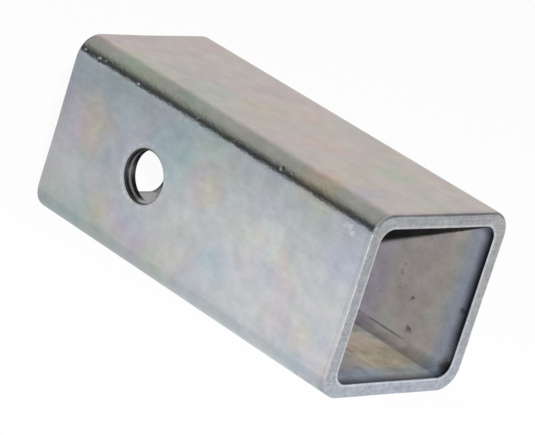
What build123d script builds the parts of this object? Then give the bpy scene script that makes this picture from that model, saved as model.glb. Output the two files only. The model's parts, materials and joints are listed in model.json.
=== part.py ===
# Receiver reducer sleeve: a short length of square steel tube that fits inside a large hitch
# receiver and takes a smaller shank in its bore. One pin passes through both side walls.
#
# Frame: X runs along the tube, Y across it from one side wall to the other, Z up.
# The origin is the centre of the side that the tube lies on. The mouth for the shank is at
# the +X end, and the pin hole is nearer to the -X end.

import os

from build123d import *

# Driving dimensions, in millimetres
length = 146.0                # end to end, 5-3/4 in
outer_width = 63.5            # outside of the square, 2-1/2 in, the size of the receiver
wall = 5.0                    # the same on all four sides
outer_corner_radius = 8.0     # cold-formed corner, outside
bore_corner_radius = 5.0      # in the bore, where the metal gathers as the corner is formed
pin_hole_diameter = 17.5      # drilled for a 5/8 in hitch pin, 11/16 in
pin_hole_from_end = 46.0      # centre of the hole from the -X end
outer_end_break = 0.8         # rounding of the sawn ends, outside
bore_end_break = 0.4          # rounding of the sawn ends, in the bore
pin_hole_break = 0.8          # rounding of the hole's edges, outside and in the bore

# Sizes that follow
bore_width = outer_width - 2 * wall
even_corner_radius = outer_corner_radius - wall     # makes a corner as thick as the wall
inner_corner_radius = max(bore_corner_radius, even_corner_radius)
mid_height = outer_width / 2
pin_hole_x = pin_hole_from_end - length / 2
largest_break = 0.45 * wall   # two roundings share one wall


def square_tube():
    """The tube: two rounded squares drawn on the -X end, one inside the other, and extruded."""
    far_end = Plane(origin=(-length / 2, 0, mid_height), x_dir=(0, 1, 0), z_dir=(1, 0, 0))
    outside = RectangleRounded(outer_width, outer_width, outer_corner_radius)
    bore = RectangleRounded(bore_width, bore_width, inner_corner_radius)
    return extrude(far_end * (outside - bore), amount=length)


def pin_drill():
    """The drill's path, straight across the tube and through both side walls."""
    across = Plane(origin=(pin_hole_x, 0, mid_height), z_dir=(0, 1, 0))
    return across * Cylinder(pin_hole_diameter / 2, 2 * outer_width)


def outer_end_edges(tube):
    """The outline of the outside on both sawn ends."""
    return ShapeList(
        edge
        for end in tube.faces().filter_by(Axis.X)
        for edge in end.outer_wire().edges()
    )


def bore_end_edges(tube):
    """The outline of the bore on both sawn ends."""
    return ShapeList(
        edge
        for end in tube.faces().filter_by(Axis.X)
        for mouth in end.inner_wires()
        for edge in mouth.edges()
    )


def pin_hole_edges(tube):
    """The circles where the pin hole breaks out of the side walls, outside and in the bore."""
    return ShapeList(
        edge
        for side in tube.faces().filter_by(Axis.Y)
        for hole in side.inner_wires()
        for edge in hole.edges()
    )


def reducer_sleeve():
    """The whole sleeve, one piece of steel: formed, sawn, drilled and deburred."""
    sleeve = square_tube() - pin_drill()
    sleeve = fillet(pin_hole_edges(sleeve), min(pin_hole_break, largest_break))
    sleeve = fillet(outer_end_edges(sleeve), min(outer_end_break, largest_break))
    return fillet(bore_end_edges(sleeve), min(bore_end_break, largest_break))


os.makedirs("parts", exist_ok=True)
export_step(reducer_sleeve(), "parts/reducer_sleeve.step")
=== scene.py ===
# %% [markdown]
# # A receiver reducer sleeve
#
# The object is a short length of square steel tube. It slides into a large hitch receiver, a
# smaller shank slides into its bore, and one pin goes through everything. It is sawn off,
# drilled, deburred and then zinc plated, and that is all there is to it. With so little shape,
# the eye reads the edges and the finish, so most of the work below goes into those two.
#
# The imported model is loaded first. It is the frame, and the length and the width are read from it.

# %% Load the frame
import json
import math

import bpy
import numpy as np
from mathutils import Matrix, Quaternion, Vector


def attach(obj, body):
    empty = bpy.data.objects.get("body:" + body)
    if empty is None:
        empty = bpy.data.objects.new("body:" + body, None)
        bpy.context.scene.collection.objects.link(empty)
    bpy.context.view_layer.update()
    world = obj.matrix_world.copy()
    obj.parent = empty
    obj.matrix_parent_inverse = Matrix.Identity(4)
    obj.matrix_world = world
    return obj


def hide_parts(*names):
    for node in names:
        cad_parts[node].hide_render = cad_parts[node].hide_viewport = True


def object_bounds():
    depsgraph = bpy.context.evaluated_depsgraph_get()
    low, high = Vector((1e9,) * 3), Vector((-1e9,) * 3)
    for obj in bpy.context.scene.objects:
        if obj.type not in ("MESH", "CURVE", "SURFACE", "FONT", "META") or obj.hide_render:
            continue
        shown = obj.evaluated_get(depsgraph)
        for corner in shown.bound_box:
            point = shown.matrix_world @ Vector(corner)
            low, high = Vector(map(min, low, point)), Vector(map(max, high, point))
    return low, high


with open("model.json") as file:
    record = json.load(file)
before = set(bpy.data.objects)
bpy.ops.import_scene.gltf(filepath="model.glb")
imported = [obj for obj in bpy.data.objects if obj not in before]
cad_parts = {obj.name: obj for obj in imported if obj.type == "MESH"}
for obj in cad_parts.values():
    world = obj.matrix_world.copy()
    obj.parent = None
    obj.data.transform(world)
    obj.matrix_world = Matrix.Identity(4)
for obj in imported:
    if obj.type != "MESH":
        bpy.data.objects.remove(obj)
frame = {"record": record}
frame_low, frame_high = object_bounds()
print("frame from", tuple(frame_low), "to", tuple(frame_high))

# %% [markdown]
# ## Sizes
#
# The length and the width come from the frame, and the hole from the mount that says where the
# pin goes. The wall, the corner radii and the edge breaks can't be read from a box, so they are
# written here once. Everything is in metres.

# %% Sizes
pin_mount = next(mount for mount in frame["record"]["mounts"] if mount["name"] == "pin_hole")

half_length = frame_high.x
half_width = frame_high.y
mid_height = frame_high.z / 2
wall = 0.0050
corner_radius = 0.0080
bore_corner_radius = 0.0050
outer_end_break = 0.0008
bore_end_break = 0.0004
pin_hole_break = 0.0008
pin_hole_x = pin_mount["pos_m"][0]
pin_hole_radius = pin_mount["dims"]["r_mm"] / 1000
half_bore = half_width - wall
print(f"tube {2 * half_length:.4f} long, {2 * half_width:.4f} wide, hole at x {pin_hole_x:.4f}")

# %% [markdown]
# ## Where the mesh has its lines
#
# The CAD node could stay, but its facets are flat triangles, and a plated metal shows every one
# of them as a step in its reflections. A new skin with smooth shading is worth its few lines.
#
# A tube is a profile carried along a path. Here the profile is the wall cut lengthways, a long
# thin rectangle with rounded corners, and the path runs once round the square. Both close on
# themselves, so the skin is a closed grid with no seam.
#
# The pin hole needs room in that grid. A square window is left open round it, and its lines are
# spaced by the tangent of equal angles, so that spokes from the hole's centre meet them evenly.

# %% Stations along the tube and across a flat
window_half = 0.0120
window_cells = 24
flat_half = half_width - corner_radius
edge_support = 0.0003      # a line this close to a rounding keeps the shading of the flat flat
along_step = 0.0017        # no two lines along the tube lie further apart than this
across_step = 0.0015


def spread(start, stop, step):
    """Evenly spaced stations from start up to, but not with, stop, no further apart than step."""
    count = max(1, math.ceil(abs(stop - start) / step))
    return start + (stop - start) * np.arange(count) / count


def window_stations():
    """Stations over the window: half width times the tangent of angles from -45 to 45 degrees."""
    turn = np.linspace(-math.pi / 4, math.pi / 4, window_cells + 1)
    return window_half * np.tan(turn)


def tube_stations(end_break):
    """Stations along one long side of the wall, from the -X end to the +X end."""
    reach = half_length - end_break
    window = pin_hole_x + window_stations()
    return np.concatenate([
        [-reach],
        spread(-reach + edge_support, window[0], along_step),
        window[:-1],
        spread(window[-1], reach - edge_support, along_step),
        [reach - edge_support, reach],
    ])


def flat_stations():
    """Stations across one flat side of the square, from one corner's start to the next."""
    window = window_stations()
    return np.concatenate([
        [-flat_half],
        spread(-flat_half + edge_support, window[0], across_step),
        window[:-1],
        spread(window[-1], flat_half - edge_support, across_step),
        [flat_half - edge_support, flat_half],
    ])


print(len(tube_stations(outer_end_break)), "along,", len(flat_stations()), "across a flat")

# %% [markdown]
# ## The path round the square
#
# A rounded square is easiest as a skeleton and a direction. Along a flat the skeleton slides
# and the direction stands still; round a corner the skeleton stands still and the direction
# turns. A point is then the skeleton plus a radius times the direction.
#
# The bore's corners are not as tight as the outside's corners would make them, because metal
# gathers there when the tube is formed. So the radius changes evenly through the wall, and the
# skeleton's half width with it. Inside the window the stations stay put, for the hole's sake.

# %% The path
arc_cells = 18


def square_path():
    """Station, normal, tangent and direction of each point once round the square.

    For each side: direction = normal. For each corner: station = flat half, direction = cosine
    times the normal + sine times the tangent, over a quarter turn.
    """
    flat = flat_stations()
    turns = np.linspace(0, math.pi / 2, arc_cells + 1)[1:-1]
    station = np.concatenate([flat, np.full(len(turns), flat_half)])
    turns = np.concatenate([np.zeros(len(flat)), turns])[:, None]
    normals, tangents, directions = [], [], []
    for side in range(4):
        angle = side * math.pi / 2
        normal = np.array([math.cos(angle), math.sin(angle)])
        tangent = np.array([-normal[1], normal[0]])
        normals.append(np.tile(normal, (len(station), 1)))
        tangents.append(np.tile(tangent, (len(station), 1)))
        directions.append(np.cos(turns) * normal + np.sin(turns) * tangent)
    return np.tile(station, 4), *map(np.concatenate, (normals, tangents, directions))


path_station, path_normal, path_tangent, path_direction = square_path()
side_step = len(path_station) // 4
print("path of", len(path_station), "points,", side_step, "for each side and its corner")

# %% [markdown]
# ## The wall's profile
#
# Each corner of the profile is a quarter circle. A real edge is deburred by hand with a file or
# a wheel, so the rounding is a little wider here and narrower there. Scaling a quarter circle
# about the sharp corner that it rounds keeps it tangent to both faces, so the profile keeps,
# for each point, its sharp corner, its offset from it, and which break it belongs to.

# %% The profile
break_cells = 7
ring_cells = 5


def quarter(corner, break_size, start_turn):
    """Offsets of a quarter circle from the sharp corner that it rounds.

    The circle's centre lies break_size inside both faces. Turns are counted from +X towards
    growing depth, and the circle is walked with the turn growing.
    """
    turns = start_turn + np.linspace(0, math.pi / 2, break_cells + 1)
    inward = -np.array([
        math.copysign(1, math.cos(start_turn + math.pi / 4)),
        math.copysign(1, math.sin(start_turn + math.pi / 4)),
    ])
    circle = np.stack([np.cos(turns), np.sin(turns)], axis=1)
    return np.tile(corner, (len(turns), 1)), break_size * (inward + circle)


def wall_profile():
    """Sharp corner, offset and break number of each point, once round the wall lengthways.

    Points are (x, depth). The walk goes along the outside to +X, down the +X end, back along
    the bore and up the -X end. Break numbers: 0 none, 1 outside +X, 2 bore +X, 3 bore -X,
    4 outside -X.
    """
    outside = tube_stations(outer_end_break)
    bore = tube_stations(bore_end_break)[::-1]
    ring = np.linspace(outer_end_break, wall - bore_end_break, ring_cells + 1)
    ring[0] += edge_support
    ring[-1] -= edge_support

    def straight(x, depth):
        corner = np.stack(np.broadcast_arrays(x, depth), axis=1)
        return corner, np.zeros_like(corner), 0

    pieces = [
        straight(outside[1:-1], 0.0),
        (*quarter((half_length, 0), outer_end_break, -math.pi / 2), 1),
        straight(half_length, ring),
        (*quarter((half_length, wall), bore_end_break, 0), 2),
        straight(bore[1:-1], wall),
        (*quarter((-half_length, wall), bore_end_break, math.pi / 2), 3),
        straight(-half_length, ring[::-1]),
        (*quarter((-half_length, 0), outer_end_break, math.pi), 4),
    ]
    corner, offset = (np.concatenate([piece[part] for piece in pieces]) for part in (0, 1))
    number = np.concatenate([np.full(len(piece[0]), piece[2]) for piece in pieces])
    return corner, offset, number, len(outside) - 2, len(bore) - 2


profile_corner, profile_offset, profile_break, outside_count, bore_count = wall_profile()
bore_start = outside_count + 2 * (break_cells + 1) + ring_cells + 1
print("profile of", len(profile_corner), "points")

# %% [markdown]
# ## The skin
#
# The grid is one formula over two parameters, the profile's and the path's. The break's
# unevenness is a sum of slow waves round the path, a different one for each of the four edges.

# %% The grid
path_turn = 2 * math.pi * np.arange(len(path_station)) / len(path_station)
top_turn = 0.66 * math.pi
top_widening = 0.15
phase_step = 1.7           # from one edge to the next, so that no two are alike
break_waves = [
    # height, waves round the path, times the edge's own phase
    (0.08, 3, 1.0),
    (0.07, 8, 2.3),
    (0.05, 21, 0.9),
]


def unevenness(number):
    """Scale of a break round the path: 1 + a wave that is highest along the top + three others."""
    phase = phase_step * number
    scale = 1 + top_widening * np.cos(path_turn - top_turn)
    for height, waves, phase_share in break_waves:
        scale = scale + height * np.sin(waves * path_turn + phase_share * phase)
    return scale


def skin_grid():
    """Points of the closed grid, profile by path by 3.

    (x, depth) = sharp corner + scale times offset. Through the wall the radius goes evenly from
    the outside's to the bore's, and the flat's half width is what is left of the half width
    after depth and radius. A station outside the window moves in with the flat's end. Then
    (y, height) = half flat times normal + station times tangent + radius times direction.
    """
    scale = np.stack([unevenness(number) for number in range(5)])[profile_break]
    x = profile_corner[:, :1] + profile_offset[:, :1] * scale
    depth = profile_corner[:, 1:] + profile_offset[:, 1:] * scale
    radius = corner_radius + (bore_corner_radius - corner_radius) * depth / wall
    half_flat = half_width - depth - radius
    beyond = np.clip((np.abs(path_station) - window_half) / (flat_half - window_half), 0, 1)
    station = path_station + np.sign(path_station) * beyond * (half_flat - flat_half)
    across = (
        half_flat[..., None] * path_normal
        + station[..., None] * path_tangent
        + radius[..., None] * path_direction
    )
    return np.concatenate([x[..., None], across], axis=2)


skin = skin_grid()
print("grid", skin.shape[:2])

# %% [markdown]
# ## The pin hole
#
# On both side walls the grid's cells inside the window are left out. In their place goes a
# second sheet: its outer rim is the window in the outside, its inner rim is the window in the
# bore, and between them it runs in over the plate, over the rounded edge, through the wall,
# over the other edge and out again. It is another profile carried along a path, and the path
# is the circle. Both rims copy the grid's own points, so the two sheets weld without a gap.
#
# A drill pushes the metal up a little round its hole. The plate keeps that low lip, a few
# hundredths of a millimetre, and it draws a pale ring round the dark hole. Inside, the drill
# leaves two shallow grooves, which break up the reflection there.

# %% The sheet through a side wall
window_start = pin_hole_x - window_half
first_window_x = int(np.argmin(np.abs(profile_corner[:outside_count, 0] - window_start)))
bore_x = profile_corner[bore_start:bore_start + bore_count, 0]
last_window_bore = bore_start + int(np.argmin(np.abs(bore_x - window_start)))
first_window_across = int(np.argmin(np.abs(flat_stations() + window_half)))
plate_cells = 8
through_cells = 6
plate_ease = 1.6
lip_height = 0.00003
lip_steepness = 6
groove_depth = 0.00005
groove_turn = 3 * math.pi  # three grooves would fill the wall
groove_end = 0.67          # and the drill leaves the first two of them


def rim_indices(side):
    """Grid indices, profile and path, of the window's rim on the outside and in the bore.

    The rim starts at the corner with the least x and the least station and goes round once.
    """
    step = np.arange(window_cells)
    low, high = np.zeros(window_cells, int), np.full(window_cells, window_cells)
    along = np.concatenate([step, high, window_cells - step, low])
    across = np.concatenate([low, step, high, window_cells - step])
    path = side * side_step + first_window_across + across
    return (first_window_x + along, path), (last_window_bore - along, path)


def hole_profile():
    """Blend from the window to the circle, circle radius and depth, from outside to bore.

    Over the plate, blend = 1 - (1 - step) to the power of the ease, and the lip = its height
    times blend to the power of its steepness. Through the wall, the grooves = their depth times
    the squared sine of step times the groove turn.
    """
    ease = 1 - (1 - np.linspace(0, 1, plate_cells + 1)) ** plate_ease
    turn = np.linspace(0, math.pi / 2, break_cells + 1)[1:]
    step = np.linspace(0, 1, through_cells + 1)[1:]
    through = pin_hole_break + (wall - 2 * pin_hole_break) * step
    edge = pin_hole_radius + pin_hole_break
    lip = -lip_height * ease ** lip_steepness
    grooves = groove_depth * np.sin(groove_turn * step) ** 2 * (step < groove_end)
    blend = np.concatenate([ease, np.ones(2 * len(turn) + len(through)), ease[::-1][1:]])
    radius = np.concatenate([
        np.full(plate_cells + 1, edge),
        edge - pin_hole_break * np.sin(turn),
        pin_hole_radius + grooves,
        edge - pin_hole_break * np.cos(turn),
        np.full(plate_cells, edge),
    ])
    depth = np.concatenate([
        lip,
        pin_hole_break * (1 - np.cos(turn)) + lip[-1] * np.cos(turn),
        through,
        wall - pin_hole_break + pin_hole_break * np.sin(turn),
        np.full(plate_cells, wall),
    ])
    return blend, radius, depth


def hole_sheet(side):
    """Points of the sheet through one side wall, profile by rim by 3.

    At each rim point the spoke has the angle of that point seen from the hole's centre. A point
    is (1 - blend) times the rim + blend times (radius times the spoke), at its depth.
    """
    outer_rim, bore_rim = rim_indices(side)
    rim = skin[outer_rim]
    spoke_x, spoke_z = rim[:, 0] - pin_hole_x, rim[:, 2]
    angle = np.arctan2(spoke_z, spoke_x)
    blend, radius, depth = (part[:, None] for part in hole_profile())
    x = pin_hole_x + (1 - blend) * spoke_x + blend * radius * np.cos(angle)
    z = (1 - blend) * spoke_z + blend * radius * np.sin(angle)
    y = np.sign(rim[:, 1]) * (half_width - depth) + 0 * x
    sheet = np.stack([x, y, z], axis=2)
    sheet[0], sheet[-1] = skin[outer_rim], skin[bore_rim]
    return sheet


print("sheet", hole_sheet(0).shape[:2])

# %% [markdown]
# ## Weld and form
#
# All points go into one list and equal points become one. Then the whole tube is formed a
# little: cold-formed square tube is never quite flat, each side is drawn in by up to a tenth of
# a millimetre between its corners, and that is enough to bend a reflection.

# %% Faces, weld and forming
side_hollow = 0.00010
hollow_wave = 0.09         # the hollow comes and goes over this length of tube
hollow_change = 0.3        # by this share of its depth, up and down
hollow_phase = 0.8


def grid_faces(rows, columns, first, closed_rows, closed_columns):
    """Corner indices of a grid's cells, rows by columns by 4, counted from first."""
    row = np.arange(rows if closed_rows else rows - 1)[:, None]
    column = np.arange(columns if closed_columns else columns - 1)[None]
    next_row, next_column = (row + 1) % rows, (column + 1) % columns
    cell = [row * columns + column, row * columns + next_column,
            next_row * columns + next_column, next_row * columns + column]
    return first + np.stack(np.broadcast_arrays(*cell), axis=2)


def in_window():
    """True for the grid's cells that lie in one of the four windows."""
    rows, columns = skin.shape[:2]
    row, column = np.arange(rows)[:, None], np.arange(columns)[None]
    outer = (row >= first_window_x) & (row < first_window_x + window_cells)
    inner = (row >= last_window_bore - window_cells) & (row < last_window_bore)
    on_side = (column % side_step >= first_window_across) & (
        column % side_step < first_window_across + window_cells
    )
    side_wall = (column // side_step) % 2 == 0
    return (outer | inner) & on_side & side_wall


def welded_tube():
    """One closed mesh: unique points and the quads between them."""
    rows, columns = skin.shape[:2]
    faces = [grid_faces(rows, columns, 0, True, True)[~in_window()]]
    points = [skin.reshape(-1, 3)]
    count = rows * columns
    for side in (0, 2):
        sheet = hole_sheet(side)
        cells = grid_faces(*sheet.shape[:2], count, False, True).reshape(-1, 4)
        faces.append(cells[:, ::-1])
        points.append(sheet.reshape(-1, 3))
        count += sheet.shape[0] * sheet.shape[1]
    faces = np.concatenate(faces)
    unique, place = np.unique(np.concatenate(points), axis=0, return_inverse=True)
    faces = place.reshape(-1)[faces]
    used, faces = np.unique(faces, return_inverse=True)
    return unique[used], faces.reshape(-1, 4)


def formed(points):
    """Each side moves in by hollow times (1 - (place across it / flat half) squared) squared.

    The square of the bracket lets the hollow run out level where the corner begins. Along the
    tube a slow sine wave makes it shallower and deeper.
    """
    x, y, z = points.T
    on_y = np.clip(1 - (z / flat_half) ** 2, 0, None) ** 2 * (np.abs(y) > np.abs(z))
    on_z = np.clip(1 - (y / flat_half) ** 2, 0, None) ** 2 * (np.abs(z) > np.abs(y))
    wave = np.sin(2 * math.pi * x / hollow_wave + hollow_phase)
    wander = 1 - hollow_change + hollow_change * wave
    y = y - np.sign(y) * side_hollow * on_y * wander
    z = z - np.sign(z) * side_hollow * on_z * wander
    return np.stack([x, y, z + mid_height], axis=1)


tube_points, tube_faces = welded_tube()
tube_points = formed(tube_points)
print(len(tube_points), "points,", len(tube_faces), "quads")

# %% [markdown]
# ## The mesh object
#
# Two tests come first. The signed volume is negative if the faces point inwards, and then they
# are turned round. An edge with no partner would be a hole in the skin, so none may be open.
# The object then stands for the CAD node: it rides on the same body, and the CAD node is hidden.


# %% Make the object
def signed_volume(points, faces):
    """Sum over the quads of the tetrahedra to the origin, positive if the faces point out."""
    a, b, c, d = (points[faces[:, corner]] for corner in range(4))
    half_1 = np.einsum("ij,ij->i", a, np.cross(b, c)).sum()
    half_2 = np.einsum("ij,ij->i", a, np.cross(c, d)).sum()
    return (half_1 + half_2) / 6


def open_edges(faces):
    """How many directed edges have no partner that runs the other way; a closed skin has none."""
    start, stop = faces.reshape(-1), np.roll(faces, -1, axis=1).reshape(-1)
    count = faces.max() + 1
    return len(np.setdiff1d(start * count + stop, stop * count + start))


def mesh_object(name, points, faces):
    """A smooth-shaded mesh object from an array of points and an array of quads."""
    mesh = bpy.data.meshes.new(name)
    mesh.vertices.add(len(points))
    mesh.vertices.foreach_set("co", points.astype(np.float32).reshape(-1))
    mesh.loops.add(faces.size)
    mesh.loops.foreach_set("vertex_index", faces.astype(np.int32).reshape(-1))
    mesh.polygons.add(len(faces))
    mesh.polygons.foreach_set("loop_start", np.arange(0, faces.size, 4, dtype=np.int32))
    mesh.polygons.foreach_set("use_smooth", np.ones(len(faces), dtype=bool))
    mesh.update(calc_edges=True)
    mesh.validate()
    made = bpy.data.objects.new(name, mesh)
    bpy.context.collection.objects.link(made)
    return made


volume = signed_volume(tube_points, tube_faces)
print("volume", volume, "open edges", open_edges(tube_faces))
if volume < 0:
    tube_faces = tube_faces[:, ::-1]
sleeve = mesh_object("zinc_sleeve", tube_points, tube_faces)
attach(sleeve, "root")
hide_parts("reducer_sleeve")

# %% [markdown]
# ## Writing shader maths as expressions
#
# A finish is arithmetic on positions and noise. Wrapping a socket in a small class lets that
# arithmetic be written down as it is thought of, and each operation adds its Math node.


# %% A socket that can be used in arithmetic
class Signal:
    """An output socket of a shader tree. Operators on it add Math nodes."""

    def __init__(self, tree, socket=None):
        self.tree = tree
        self.socket = socket

    def node(self, kind, settings=None, inputs=None, output=0):
        """Add any node: first its settings, then the values or links of its inputs."""
        made = self.tree.nodes.new(kind)
        for name, value in (settings or {}).items():
            setattr(made, name, value)
        for name, value in (inputs or {}).items():
            if isinstance(value, Signal):
                self.tree.links.new(value.socket, made.inputs[name])
            else:
                made.inputs[name].default_value = value
        return Signal(self.tree, made.outputs[output] if made.outputs else None)

    def output(self, name):
        """Another output of the node that this one comes from."""
        return Signal(self.tree, self.socket.node.outputs[name])

    def parts(self):
        """The three parts of a vector."""
        split = self.node("ShaderNodeSeparateXYZ", None, {"Vector": self})
        return split.output("X"), split.output("Y"), split.output("Z")

    def math(self, operation, *values):
        """The result of a Math node."""
        return self.node("ShaderNodeMath", {"operation": operation}, dict(enumerate(values)))

    def __add__(self, other):
        return self.math("ADD", self, other)

    def __radd__(self, other):
        return self.math("ADD", other, self)

    def __sub__(self, other):
        return self.math("SUBTRACT", self, other)

    def __rsub__(self, other):
        return self.math("SUBTRACT", other, self)

    def __mul__(self, other):
        return self.math("MULTIPLY", self, other)

    def __rmul__(self, other):
        return self.math("MULTIPLY", other, self)

    def __pow__(self, other):
        return self.math("POWER", self, other)

    def __abs__(self):
        return self.math("ABSOLUTE", self)

    def larger(self, other):
        """The larger of two values."""
        return self.math("MAXIMUM", self, other)

    def smaller(self, other):
        """The smaller of two values."""
        return self.math("MINIMUM", self, other)

    def cosine(self):
        """The cosine of an angle."""
        return self.math("COSINE", self)

    def between(self, start, stop):
        """0 at start, 1 at stop, with a soft step between them; stop may be the lower one."""
        return self.node(
            "ShaderNodeMapRange",
            {"interpolation_type": "SMOOTHSTEP"},
            {"Value": self, "From Min": start, "From Max": stop},
        )

    def far_from(self, point):
        """The distance of a position from a point."""
        return self.node(
            "ShaderNodeVectorMath",
            {"operation": "DISTANCE"},
            {0: self, 1: point},
            output="Value",
        )

    def mix(self, factor, first, second, blend="MIX"):
        """A colour: first where factor is 0, blended with second where it is 1."""
        return self.node(
            "ShaderNodeMix",
            {"data_type": "RGBA", "blend_type": blend},
            {"Factor": factor, 6: first, 7: second},
            output=2,
        )

    def toned(self, factor, tone):
        """This colour, which gives way to a plain tone where factor is 1."""
        return self.mix(factor, self, (*tone, 1))

    def tinted(self, factor, tint):
        """This colour, multiplied by a tint where factor is 1."""
        return self.mix(factor, self, (*tint, 1), "MULTIPLY")

    def noise(self, scale, detail=2.0, roughness=0.5):
        """At a position, a value round 0.5 that wanders over distances of about 1 / scale."""
        return self.node(
            "ShaderNodeTexNoise",
            None,
            {"Vector": self, "Scale": scale, "Detail": detail, "Roughness": roughness},
        )

    def stretched(self, scale, turn=(0, 0, 0), shift=(0, 0, 0)):
        """Positions scaled along each axis, turned and shifted, so that a pattern runs one way."""
        return self.node(
            "ShaderNodeMapping",
            None,
            {"Vector": self, "Scale": scale, "Rotation": turn, "Location": shift},
        )


def new_material(name):
    """An empty node material, and a Signal that adds nodes to it."""
    material = bpy.data.materials.new(name)
    material.use_nodes = True
    material.node_tree.nodes.clear()
    return material, Signal(material.node_tree)


# %% [markdown]
# ## Where on the sleeve
#
# One material covers the whole sleeve, because one zinc bath did. What differs from place to
# place is how the steel under it was worked: rolled outside, sawn at the ends, drilled in the
# hole and left as it came from the mill in the bore. So the finish starts with masks, worked
# out from the position alone. The bore's mask needs the true distance to a rounded square.

# %% Masks for the worked surfaces
edge_blend = 0.0002        # a mask goes from 0 to 1 over this distance
corner_blend = 0.001
bore_blend = (0.00012, 0.00003)     # outside the bore's square: 0 at the first, 1 at the second
bore_flat = half_bore - bore_corner_radius


def beyond_bore(y, z):
    """Distance outside the bore's rounded square, 0 on its walls.

    It is the length of (max(|y| - flat, 0), max(|z| - flat, 0)), less the corner radius.
    """
    over_y, over_z = (abs(y) - bore_flat).larger(0.0), (abs(z) - bore_flat).larger(0.0)
    return (over_y ** 2 + over_z ** 2) ** 0.5 - bore_corner_radius


def beyond_pin_hole(x, z):
    """Distance from the wall of the pin hole: that from its axis, less its radius."""
    return ((x - pin_hole_x) ** 2 + z ** 2) ** 0.5 - pin_hole_radius


def ridge(distance, centre, reach):
    """1 where a distance is at the centre, falling to 0 at the reach to both sides of it."""
    return distance.between(centre - reach, centre) * distance.between(centre + reach, centre)


def masks(x, y, z):
    """Where the surface is the bore, a sawn end, the pin hole or a formed corner, each 0 to 1."""
    in_bore = beyond_bore(y, z).between(*bore_blend)
    on_end = abs(x).between(half_length - 2 * edge_blend, half_length - edge_blend)
    in_hole = beyond_pin_hole(x, z).between(pin_hole_break, pin_hole_break - edge_blend)
    on_corner = abs(y).smaller(abs(z)).between(flat_half, flat_half + corner_blend)
    return in_bore, on_end, in_hole * (1.0 - in_bore), on_corner * (1.0 - in_bore)


print(f"bore's flats {2 * bore_flat:.4f} wide, masks blend over {edge_blend}")

# %% [markdown]
# ## Stains and marks on the outside
#
# The plate keeps what happened to it: tints where the bath ran off and spots that something
# rubbed bright. A few spots low on the lower rounding by the mouth, just above the table, are
# darker. A painted picture could hold them, but it blurs when it is seen from close by. Here
# each is a round patch, with a place, a radius and a tint, and a noise added to the distance
# makes its outline ragged.

# %% Stains and marks
near_side, upper_side = -half_width, 2 * mid_height
stains = [
    # place, radius, tint
    ((-0.0620, near_side, 0.0380), 0.0260, (0.98, 1.00, 1.04)),
    ((-0.0630, near_side, 0.0190), 0.0110, (1.12, 1.05, 1.08)),
    ((-0.0570, near_side, 0.0400), 0.0100, (1.16, 1.01, 0.92)),
    ((-0.0540, near_side, 0.0310), 0.0050, (1.15, 1.00, 0.92)),
    ((-0.0490, near_side, 0.0312), 0.0065, (0.87, 0.91, 0.94)),
    ((-0.0480, near_side, 0.0210), 0.0055, (1.04, 0.96, 1.05)),
    ((-0.0430, near_side, 0.0140), 0.0060, (1.02, 1.02, 0.90)),
    ((-0.0404, near_side, 0.0461), 0.0070, (1.04, 1.10, 1.11)),
    ((-0.0342, near_side, 0.0200), 0.0050, (0.90, 0.98, 0.95)),
    ((-0.0180, near_side, 0.0430), 0.0130, (0.90, 1.00, 1.04)),
    ((0.0030, near_side, 0.0390), 0.0065, (1.04, 1.01, 0.88)),
    ((0.0130, near_side, 0.0190), 0.0085, (0.90, 1.00, 1.04)),
    ((0.0330, near_side, 0.0370), 0.0085, (1.10, 1.13, 1.05)),
    ((0.0400, near_side, 0.0340), 0.0055, (1.05, 1.01, 0.92)),
    ((0.0500, near_side, 0.0170), 0.0150, (1.02, 1.00, 0.95)),
    ((0.0575, near_side, 0.0140), 0.0060, (1.10, 0.99, 0.94)),
    ((0.0700, near_side, 0.0090), 0.0110, (0.97, 1.00, 0.96)),
    ((0.0640, near_side, 0.0430), 0.0090, (1.00, 0.99, 1.08)),
    ((-0.0450, -0.0200, upper_side), 0.0110, (0.91, 1.02, 0.97)),
    ((-0.0220, -0.0190, upper_side), 0.0130, (0.90, 1.02, 0.96)),
    ((-0.0120, -0.0060, upper_side), 0.0065, (1.02, 1.02, 0.88)),
    ((-0.0050, 0.0120, upper_side), 0.0100, (1.08, 0.99, 0.98)),
    ((0.0200, -0.0050, upper_side), 0.0090, (1.07, 0.99, 1.00)),
    ((0.0450, 0.0050, upper_side), 0.0080, (0.90, 1.02, 0.95)),
    ((0.0560, -0.0210, upper_side), 0.0070, (0.95, 0.98, 1.12)),
    # on the rounding between the two
    ((0.0440, -0.0285, 0.0605), 0.0100, (1.09, 1.00, 0.88)),
]
lower_marks = [
    # place, radius, where the lower rounding is darkened by the mouth, just above the table
    ((0.0585, -0.0292, 0.0022), 0.0013),
    ((0.0632, -0.0289, 0.0019), 0.0022),
    ((0.0655, -0.0296, 0.0026), 0.0011),
    ((0.0704, -0.0290, 0.0020), 0.0026),
]
scuffs = [
    # place, radius, where something rubbed the plate bright
    ((0.0612, near_side, 0.0548), 0.0014),
    ((0.0636, near_side, 0.0550), 0.0017),
    ((0.0652, near_side, 0.0538), 0.0012),
]
stain_ragged = 1.6
stain_edge = (1.25, 0.35)  # in radii: a stain is 0 at the first and full at the second
spot_ragged = 0.004
spot_core = 0.3            # a mark is full within this share of its radius


def stained(colour, where, ragged):
    """The colour with each stain's tint multiplied in, over a distance blurred by ragged."""
    outer, core = stain_edge
    for place, radius, tint in stains:
        reach = where.far_from(place) + ragged * radius * stain_ragged
        colour = colour.tinted(reach.between(radius * outer, radius * core), tint)
    return colour


def spots(where, marks):
    """1 in each mark, 0 round it, by the distance plus a fine noise."""
    ragged = (where.noise(600.0, 3.0, 0.7) - 0.5) * spot_ragged
    amount = 0.0
    for place, radius in marks:
        amount = (where.far_from(place) + ragged).between(radius, spot_core * radius) + amount
    return amount


print(len(stains), "stains,", len(lower_marks), "dirty marks,", len(scuffs), "scuffs")

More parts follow.
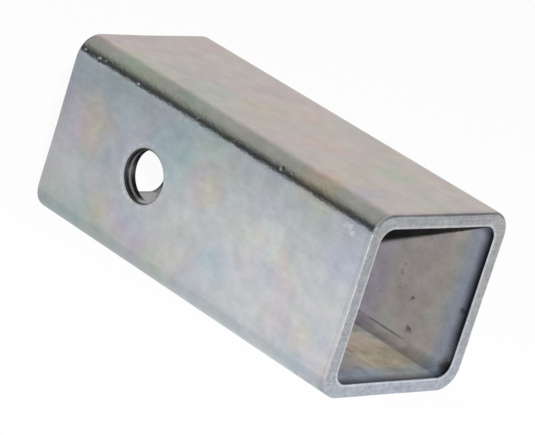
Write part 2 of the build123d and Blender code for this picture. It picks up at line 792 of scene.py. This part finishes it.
# %% [markdown]
# ## Bright zinc
#
# Zinc plate is a light metal with a passivated skin so thin that it shows interference colours:
# soft patches of straw, rose, violet and blue-green that hardly leave grey. They come from the
# skin's thickness, so slow noise stands for the thickness and three cosines, a third of a turn
# apart, turn it into red, green and blue. Over that lie a mottle and fine streaks that run along
# the tube, pale flecks of burr round the pin hole, and faint dark lines near the sawn ends.

# %% The outside's colour
zinc_tone = (0.562, 0.590, 0.598)
third_of_turn = 2 * math.pi / 3
burr_ring = (0.0019, 0.0012)        # its middle from the wall of the hole, and its half width
burr_side = (-0.006, 0.006)         # the burr grows over this stretch, from right to left
first_line = (0.0026, 0.0005)       # its middle from the far end, and its half width
second_line = (0.0044, 0.0004)
mouth_line = (0.0015, 0.0007)       # the same from the mouth


def rainbow(make, thickness):
    """The tint of a film: in each channel 0.5 + half the cosine of thickness + its phase."""
    return make.node("ShaderNodeCombineColor", None, {
        channel: 0.5 + (thickness + number * third_of_turn).cosine() * 0.5
        for number, channel in enumerate(("Red", "Green", "Blue"))
    })


def filmed_zinc(where):
    """Zinc with its film of colour, which shows more in some patches, and its stains."""
    cloud = where.noise(24.0, 2.0, 0.5)
    film = where.noise(50.0, 3.0, 0.5)
    sheen = rainbow(where, film * 6.0 + cloud * 7.0)
    patchy = where.stretched((1, 1, 1), shift=(0.3, 0.1, 0.2)).noise(45.0, 2.0).between(0.42, 0.70)
    colour = where.mix(0.05 + patchy * 0.12, (*zinc_tone, 1), sheen, "SOFT_LIGHT")
    return stained(colour, where, where.noise(150.0, 4.0, 0.65) - 0.5)


def outside_shade(where, x, z):
    """Light and dark round 0.5: mottle and streaks, burr and scuffs up, lines and low dark spots down.
    """
    mottle = where.noise(130.0, 5.0, 0.68)
    drawn = where.stretched((0.25, 1, 1)).noise(700.0, 3.0, 0.6)
    shade = 0.5 + (mottle - 0.5) * 0.75 + (drawn - 0.5) * 0.22
    flecks = where.noise(900.0, 3.0, 0.7).between(0.44, 0.60)
    left_of_pin = (pin_hole_x - x).between(*burr_side)
    burr = ridge(beyond_pin_hole(x, z), *burr_ring) * flecks * (0.5 + left_of_pin)
    end_line = ridge(x + half_length, *first_line) + ridge(x + half_length, *second_line)
    end_line = end_line + ridge(half_length - x, *mouth_line) * 1.8
    shade = shade + burr * 0.26 - end_line * 0.09
    return shade + spots(where, scuffs) * 0.35 - spots(where, lower_marks) * 0.34


def outside_colour(where, x, z):
    """The filmed zinc, lightened and darkened by the shade."""
    colour = filmed_zinc(where)
    return colour.mix(0.5, colour, outside_shade(where, x, z), "OVERLAY")


print("zinc", zinc_tone, "with a ring of burr", burr_ring[0], "from the pin hole's wall")

# %% [markdown]
# ## The bore's zinc
#
# The bore was never polished, so its zinc is dull and browner. It is rosier in the depth and
# bluer by the mouth. The floor's paler tone is painted light, for the light it looks up at, and
# the dark band at the very edge of the mouth is painted shade. One noise could make it uneven,
# but not in the right places. So the tones are laid over one another as a painter would lay
# them, each by a mask of its own place.

# %% The bore's zinc
bore_tone = (0.205, 0.193, 0.184)
bore_mouth_tone = (0.164, 0.182, 0.228)
bore_deep_tone = (0.187, 0.178, 0.203)
# painted light: the floor's zinc is made paler for the light it looks up at
painted_floor_light_tone = (0.47, 0.455, 0.44)
far_mouth_tone = (0.33, 0.39, 0.41)
mouth_floor_tint = (0.68, 0.80, 1.0)
# painted shade: a dark band just inside the mouth's edge
edge_painted_shade_tint = (0.45, 0.52, 0.64)
deep_zone = (0.028, 0.042)          # from the nearer end: 0 at the first, 1 at the second
mouth_zone = (0.013, 0.005)
mouth_floor_zone = (0.013, 0.006)
edge_painted_shade_zone = (0.0018, 0.0006)
far_mouth_zone = (0.020 - half_length, 0.003 - half_length)
gold_place = (0.056, 0.010, 0.005)
gold_tint = (1.17, 1.05, 0.85)
gold_zone = (0.016, 0.006)
gold_squeeze = 0.6         # along the tube, which makes the gold stain longer that way


def bore_zinc(where, x, on_floor):
    """Tones: deep, by the mouth, floor (painted light), far mouth, edge (painted shade), one gold
    stain.
    """
    inside = half_length - abs(x)
    colour = where.mix(inside.between(*deep_zone), (*bore_tone, 1), (*bore_deep_tone, 1))
    colour = colour.toned(inside.between(*mouth_zone), bore_mouth_tone)
    # painted light on the floor
    colour = colour.toned(on_floor, painted_floor_light_tone)
    colour = colour.tinted(on_floor * inside.between(*mouth_floor_zone), mouth_floor_tint)
    colour = colour.toned(x.between(*far_mouth_zone), far_mouth_tone)
    # painted shade at the mouth's edge
    colour = colour.tinted(inside.between(*edge_painted_shade_zone), edge_painted_shade_tint)
    gold_x, gold_y, gold_height = gold_place
    squeezed = where.stretched((gold_squeeze, 1, 1))
    gold = squeezed.far_from((gold_x * gold_squeeze, gold_y, gold_height))
    return colour.tinted(gold.between(*gold_zone), gold_tint)


print("the bore is deep from", deep_zone[1], "inside and bluer up to", mouth_zone[0])

# %% [markdown]
# ## Dirt and painted shade in the bore
#
# A faint dark line runs low along the wall, on the rounding into the floor: it is partly dirt
# and partly painted shade in that crease. A few dark marks lie towards the mouth, and the two at
# the mouth's edge are painted shade that widens the dark band there. The zinc is speckled and has
# some scratches, as a shank that goes in would leave them. Each is an amount of darkening, dirt
# and painted shade alike, and the amounts are added up before they cover the zinc, so none has
# to know another.

# %% Dirt and painted shade in the bore
# the tone of dirt, used also for painted shade in the bore and on the pin hole's rim
dirt_and_shade_tone = (0.06, 0.055, 0.05)
# partly dirt, partly painted shade in the crease where the wall rounds into the floor
crease_shade_line = (0.0029, 0.0005)        # its middle over the floor, and its half width
bore_dirt_and_shade_marks = [
    # place on the wall at +Y, radius; the first two, at the mouth's edge, are painted shade
    ((0.0705, 0.0267, 0.0080), 0.0032),
    ((0.0704, 0.0267, 0.0274), 0.0015),
    ((0.0514, 0.0267, 0.0118), 0.0016),
    ((0.0491, 0.0267, 0.0219), 0.0012),
    ((0.0425, 0.0267, 0.0227), 0.0010),
]


def bore_dirt_and_shade(where, x, z):
    """Painted shade in the crease, broken by noise and weaker to the mouth, + marks + specks +
    scratches.
    """
    broken = (where.noise(90.0, 3.0, 0.7) - x * 4.0).between(0.20, 0.36)
    dirt_and_shade = ridge(z + half_bore, *crease_shade_line) * broken + spots(where, bore_dirt_and_shade_marks)
    speck = where.noise(420.0, 3.0, 0.7).between(0.64, 0.74)
    scratch = where.stretched((0.12, 1, 1), turn=(0, 0.35, 0)).noise(260.0, 1.0).between(0.69, 0.78)
    return (speck * 0.45 + scratch * 0.35 + dirt_and_shade * 0.8).smaller(0.9)


def bore_colour(where, x, z, on_floor):
    """The bore's zinc, with a trace of the rainbow and a mottle, under its dirt and painted shade."""
    colour = bore_zinc(where, x, on_floor)
    sheen = rainbow(where, where.noise(70.0, 3.0) * 12.0)
    mottle = where.noise(160.0, 5.0, 0.7)
    colour = colour.mix(0.035, colour, sheen, "SOFT_LIGHT")
    colour = colour.mix(0.5, colour, 0.5 + (mottle - 0.5) * 0.85, "OVERLAY")
    return colour.toned(bore_dirt_and_shade(where, x, z), dirt_and_shade_tone)


print(len(bore_dirt_and_shade_marks), "dark marks in the bore")

# %% [markdown]
# ## Where the bore is smooth
#
# Dull zinc scatters light, and smooth zinc mirrors the inside of the wall across from it. The
# last millimetres by the mouth were smoothed by the deburring tool, and a stretch by the far
# mouth is smooth too. Low on the walls the zinc still mirrors a little of the pale floor, in
# broken patches. These masks feed the shine, and a colour alone could not give it.

# %% Smooth, floor and low wall
polish_zone = (half_length - 0.0055, half_length - 0.0007)
polish_share = 0.93
far_smooth_zone = (0.020 - half_length, 0.004 - half_length)
floor_zone = (-half_bore + 0.0006, -half_bore + 0.0002)
level_zone = (bore_flat + 0.0012, bore_flat - 0.0008)
low_zone = (-half_bore + 0.0045, -half_bore + 0.0008)


def bore_zones(where, x, y, z, in_bore):
    """Where the bore is dull, where it is the floor, and where it is low down, each 0 to 1."""
    polished = in_bore * x.between(*polish_zone) * polish_share
    smooth = in_bore * x.between(*far_smooth_zone)
    dull = in_bore * (1.0 - polished) * (1.0 - smooth)
    on_floor = z.between(*floor_zone) * abs(y).between(*level_zone)
    patches = where.noise(110.0, 3.0, 0.6).between(0.36, 0.58)
    near_floor = z.between(*low_zone) * (0.35 + patches * 0.65)
    return dull, on_floor, near_floor


print(f"polished from x {polish_zone[0]:.4f} and smooth up to x {far_smooth_zone[0]:.4f}")

# %% [markdown]
# ## Saw marks, grain and nicks
#
# The saw leaves fine lines across the ring, and the plate over them is speckled. Elsewhere the
# plate has a faint grain and wrinkle, stronger on the formed corners and in the bore, and small
# nicks sit along the upper corner. They could be modelled, but at a few hundredths of a
# millimetre that takes millions of faces. A height in a Bump node tilts the light just as well.

# %% Saw marks and relief
bump_strength = 0.3
bump_distance = 0.0004
nick_height = 3.0
nicks = [
    # place on the upper near corner, radius
    ((-0.0700, -0.0316, 0.0588), 0.0010),
    ((-0.0625, -0.0316, 0.0586), 0.0012),
    ((-0.0595, -0.0314, 0.0592), 0.0008),
    ((-0.0419, -0.0316, 0.0582), 0.0008),
    ((-0.0124, -0.0316, 0.0590), 0.0009),
    ((0.0058, -0.0314, 0.0592), 0.0007),
    ((0.0285, -0.0312, 0.0598), 0.0013),
    ((0.0330, -0.0310, 0.0603), 0.0010),
    ((0.0480, -0.0308, 0.0607), 0.0010),
]


def sawn_ring(where):
    """The two patterns of a sawn end: lines that run one way, and fine specks."""
    lines = where.stretched((1.0, 0.06, 1.0), turn=(0.5, 0, 0)).noise(1100.0, 3.0, 0.6)
    specks = where.noise(650.0, 4.0, 0.75)
    return lines, specks


def relief(where, on_corner, dull, on_end, saw_marks):
    """Height: (wrinkle + grain) times how rough the place is, + saw marks on the ends - nicks."""
    grain = where.noise(1500.0, 2.0, 0.6)
    wrinkle = where.stretched((0.6, 1.0, 1.0)).noise(420.0, 2.0, 0.5)
    rough = 0.5 + on_corner * 1.3 + dull * 1.5
    nicked = 0.0
    for place, radius in nicks:
        nicked = where.far_from(place).between(radius, 0.0) + nicked
    height = (wrinkle * 0.55 + grain * 0.25) * rough + on_end * saw_marks * 0.4
    return height - nicked * nick_height


print(len(nicks), "nicks, relief of", bump_distance)

# %% [markdown]
# ## The whole finish
#
# Now the parts are put together in one shader. The outside's colour is toned down on the sawn
# ends and textured there, the bore's colour takes over in the bore, and the rim of the pin hole
# is darkened on one side with painted shade. One material for each surface could do this too,
# but its borders would be hard. The plate is a metal nearly everywhere, but the bore's dull zinc,
# which scatters its light, is made mostly non-metallic and rough.

# %% The whole finish
sawn_tone = (0.560, 0.566, 0.578)
# partly rubbed bright by the shank, partly a painted highlight of the bore's edge
rubbed_highlight_line = (0.0005, 0.0008)      # its middle from the bore, and its half width
# where the pin hole's rim gets its painted shade
rim_shade_zone = (0.0010, 0.0005)         # below the side: 0 at the first, 1 at the second
rim_shade_side = (-0.006, 0.003)          # the rim darkens over this stretch, from right to left
torn_line = (0.0021, 0.0009)        # its middle below the side, and its half width


def ring_texture(y, z, on_end, lines, specks):
    """Round 0.5 on sawn ends: lines, specks, and a rubbed line by the bore, partly painted highlight.
    """
    rubbed_highlight = ridge(beyond_bore(y, z), *rubbed_highlight_line)
    return 0.5 + on_end * ((lines - 0.5) * 0.70 + (specks - 0.5) * 1.70 + rubbed_highlight * 0.60)


def zinc_material():
    """Plated steel: bright outside, brushed ends, drilled hole, dull bore, nicked corner."""
    material, make = new_material("bright_zinc")
    where = make.node("ShaderNodeTexCoord", output="Object")
    x, y, height = where.parts()
    z = height - mid_height
    below_side = half_width - abs(y)
    in_bore, on_end, in_hole, on_corner = masks(x, y, z)
    dull, on_floor, near_floor = bore_zones(where, x, y, z, in_bore)
    lines, specks = sawn_ring(where)

    colour = outside_colour(where, x, z).toned(on_end * 0.5, sawn_tone)
    colour = colour.mix(0.5, colour, ring_texture(y, z, on_end, lines, specks), "OVERLAY")
    colour = colour.mix(in_bore, colour, bore_colour(where, x, z, on_floor))
    # painted shade: the pin hole's rim darkened on its left side, in the dirt tone
    rim = in_hole * below_side.between(*rim_shade_zone) * (pin_hole_x - x).between(*rim_shade_side)
    colour = colour.toned(rim * 0.96, dirt_and_shade_tone)

    bump = make.node("ShaderNodeBump", None, {
        "Strength": bump_strength,
        "Distance": bump_distance,
        "Height": relief(where, on_corner, dull, on_end, lines + specks),
    })
    torn = ridge(below_side, *torn_line)
    blur = where.noise(30.0, 3.0, 0.6) - 0.5
    shader = make.node("ShaderNodeBsdfPrincipled", None, {
        "Base Color": colour,
        "Metallic": 1.0 - dull * (0.90 - near_floor * 0.40) - in_hole * torn * 0.22,
        "Roughness": 0.20 + blur * 0.12 + dull * 0.36 + on_end * 0.08 + in_hole * 0.15,
        "Specular IOR Level": 0.1,
        "Normal": bump,
    })
    make.node("ShaderNodeOutputMaterial", None, {"Surface": shader})
    print(len(material.node_tree.nodes), "nodes in", material.name)
    return material


sleeve.data.materials.append(zinc_material())

# %% [markdown]
# ## The room
#
# Metal shows what surrounds it, so the room matters as much as the lamps: a pale horizon, a
# dark opening to the front left, a warm pale wall behind and a soft ceiling. A picture of a real
# room could stand in for it, but then each tone would be where the picture has it. Here a few
# soft steps turn the direction of a reflection into a tone. The camera itself sees plain white.

# %% Directions and the room's tones
horizon_tone = (0.66, 0.69, 0.73)
opening_tone = (0.052, 0.056, 0.057)
room_tone = (0.36, 0.36, 0.36)
ceiling_tone = (0.51, 0.51, 0.45)
wall_tone = (0.75, 0.68, 0.64)
corner_tone = (0.27, 0.27, 0.27)
softbox_tone = (1.2, 1.2, 1.24)
ambient_tone = (0.05, 0.05, 0.05)
white = (1, 1, 1, 1)
opening_zone = (-0.25, -0.50)       # along: a direction is 1 long, so its parts go from -1 to 1
corner_zone = (0.05, -0.35)
behind_zone = (0.20, 0.60)          # across
horizon_zone = (0.05, 0.21)         # up
ceiling_zone = (0.34, 0.76)
softbox_zone = (0.26, 0.14)         # from the key lamp's direction


def seen_from(azimuth, elevation):
    """The direction with azimuth 0 at the side at -Y, 90 at the mouth at +X, and elevation up."""
    azimuth, elevation = math.radians(azimuth), math.radians(elevation)
    return Vector((
        math.sin(azimuth) * math.cos(elevation),
        -math.cos(azimuth) * math.cos(elevation),
        math.sin(elevation),
    ))


key_direction = seen_from(43.0, 22.6)
print("key lamp towards", tuple(key_direction))


# %% The room
def mirrored_room(looking):
    """What glossy surfaces see above the table, by direction."""
    along, across, up = looking.parts()
    low = looking.mix(along.between(*opening_zone), (*room_tone, 1), (*opening_tone, 1))
    front = low.toned(up.between(*ceiling_zone), ceiling_tone)
    front = looking.mix(up.between(*horizon_zone), (*horizon_tone, 1), front)
    back = looking.mix(along.between(*corner_zone), (*corner_tone, 1), (*wall_tone, 1))
    seen = looking.mix(across.between(*behind_zone), front, back)
    softbox = looking.far_from(tuple(key_direction)).between(*softbox_zone)
    return seen.toned(softbox, softbox_tone)


def room():
    """A world that is white to the camera, the room to mirrors, and dim to plain diffuse light."""
    world = bpy.data.worlds.new("studio_room")
    bpy.context.scene.world = world
    world.use_nodes = True
    world.node_tree.nodes.clear()
    make = Signal(world.node_tree)
    looking = make.node("ShaderNodeTexCoord", output="Generated")
    path = make.node("ShaderNodeLightPath")
    camera_ray, glossy_ray = path.output("Is Camera Ray"), path.output("Is Glossy Ray")
    plain = make.mix(glossy_ray, (*ambient_tone, 1), mirrored_room(looking))
    shown = make.mix(camera_ray, plain, white)
    light = make.node("ShaderNodeBackground", None, {"Color": shown, "Strength": 1.0})
    make.node("ShaderNodeOutputWorld", None, {"Surface": light})
    print(len(world.node_tree.nodes), "nodes in", world.name)


room()

# %% [markdown]
# ## The table
#
# The part lies on a white table. The camera sees it plain white, with a little of the matt
# surface left so that the part's shadow falls on it. A mirror sees a pool of light that fades
# out to the left. It is bluer by the mouth and further out, brightest to the front right of the
# mouth, and a little darker right beside the tube. A plain white plane would mirror as one tone.

# %% The table
table_half = 4.0
table_bright = (0.98, 0.98, 0.97)
table_dim = (0.69, 0.70, 0.71)
table_far_tint = (0.66, 0.72, 0.77)
table_at_mouth = (0.74, 0.79, 0.87)
table_past_mouth = (0.65, 0.655, 0.665)
table_lit = (1.25, 1.25, 1.27)
table_shadow = (0.80, 0.86, 0.87)
matt_seen = (0.80, 0.80, 0.80)
matt_bounce = (0.25, 0.25, 0.25)    # to light that bounces, so that little comes back up
white_share = 0.94
pool_slant = 0.88
pool_zone = (-0.075, 0.045)
far_zone = (-0.112, -0.160)
past_zone = (0.080, 0.125)
front_x, front_y = (0.055, 0.078), (-0.050, -0.025)
lit_x, lit_y = (0.095, 0.125), (-0.005, -0.035)
beside_zone = (half_width + 0.024, half_width + 0.004)
tube_zone = (half_length + 0.001, half_length - 0.003)


def table_sheen(x, y):
    """What glossy surfaces see of the table: a pool of light that fades out to the left.

    The place of a reflection on the near side, x0 along it and at a height, lies on the table
    along a slanting line. So the pool fades with x - slant times (y from the near side).
    """
    behind_side = y + half_width
    pool = (x - behind_side * pool_slant).between(*pool_zone)
    tone = x.mix(pool, (*table_dim, 1), (*table_bright, 1)).tinted(y.between(*far_zone), table_far_tint)
    beyond = x.mix(x.between(*past_zone), (*table_at_mouth, 1), (*table_past_mouth, 1))
    tone = x.mix(x.between(*front_x) * y.between(*front_y), tone, beyond)
    tone = tone.toned(x.between(*lit_x) * y.between(*lit_y), table_lit)
    near_tube = x.between(*tube_zone) * abs(y).between(*beside_zone)
    return tone.tinted(near_tube, table_shadow)


def white_table():
    """A large plane under the part, white to the camera but for the part's shadow."""
    half = table_half
    points = np.array([[-half, -half, 0], [half, -half, 0], [half, half, 0], [-half, half, 0]])
    table = mesh_object("white_table", points, np.array([[0, 1, 2, 3]]))
    material, make = new_material("table_white")
    path = make.node("ShaderNodeLightPath")
    camera_ray, glossy_ray = path.output("Is Camera Ray"), path.output("Is Glossy Ray")
    x, y, _ = make.node("ShaderNodeTexCoord", output="Object").parts()
    matt_colour = make.mix(camera_ray, (*matt_bounce, 1), (*matt_seen, 1))
    matt = make.node("ShaderNodeBsdfDiffuse", None, {"Color": matt_colour})
    plain = make.node("ShaderNodeEmission", None, {"Color": white, "Strength": 1.0})
    mirrored = make.node("ShaderNodeEmission", None, {"Color": table_sheen(x, y), "Strength": 1.0})
    shown = make.node("ShaderNodeMixShader", None, {0: camera_ray * white_share, 1: matt, 2: plain})
    shown = make.node("ShaderNodeMixShader", None, {0: glossy_ray, 1: shown, 2: mirrored})
    make.node("ShaderNodeOutputMaterial", None, {"Surface": shown})
    table.data.materials.append(material)
    print(table.name, 2 * half, "wide,", len(material.node_tree.nodes), "nodes in", material.name)


white_table()

# %% [markdown]
# ## The lamps
#
# A wide soft lamp overhead lights the part evenly, and a small key lamp from the front right
# throws the shadow of the bore's top on the wall inside. The small lamp could be a sun, but the
# side of an area lamp is a plain length that sets how sharp that shadow is. Mirrors don't see
# either lamp, because the room already holds what they show.

# %% The lamps
overhead_place, overhead_side, overhead_power = (0, 0, 1.1), 0.9, 5.0
key_distance, key_side, key_power = 1.3, 0.025, 30.0
key_aim = (0.04, 0, 0.03)


def soft_lamp(name, place, aim, side, power):
    """A square area lamp of that side length, turned from its place towards aim."""
    data = bpy.data.lights.new(name, "AREA")
    data.shape = "SQUARE"
    data.size = side
    data.energy = power
    lamp = bpy.data.objects.new(name, data)
    bpy.context.collection.objects.link(lamp)
    lamp.location = place
    lamp.rotation_mode = "QUATERNION"
    lamp.rotation_quaternion = (Vector(aim) - Vector(place)).to_track_quat("-Z", "Y")
    lamp.visible_glossy = False
    print("lamp", name, "at", tuple(lamp.location), "with", power, "W")


soft_lamp("overhead", overhead_place, (0, 0, 0), overhead_side, overhead_power)
soft_lamp("key", key_direction * key_distance, key_aim, key_side, key_power)

# %% [markdown]
# ## The camera
#
# The picture is taken with a long lens from the front right and a little above, with the camera
# turned about its own axis, so the tube runs downhill in the frame.

# %% Camera
look_at = Vector((0.00152, 0.00037, 0.02947))
camera_azimuth, camera_elevation, roll = 41.314, 17.645, math.radians(17.549)
distance = 1.2212
lens, sensor_width = 250.0, 36.0


def photo_camera():
    """A camera at the given angles and distance from the point it looks at."""
    back = seen_from(camera_azimuth, camera_elevation)
    data = bpy.data.cameras.new("photo_camera")
    data.sensor_width = sensor_width
    data.lens = lens
    camera = bpy.data.objects.new("photo_camera", data)
    bpy.context.collection.objects.link(camera)
    camera.location = look_at + distance * back
    camera.rotation_mode = "QUATERNION"
    camera.rotation_quaternion = (-back).to_track_quat("-Z", "Y") @ Quaternion((0, 0, 1), roll)
    bpy.context.scene.camera = camera
    print("camera at", tuple(camera.location), "with a lens of", lens)


photo_camera()
bpy.context.scene.view_settings.view_transform = "Standard"
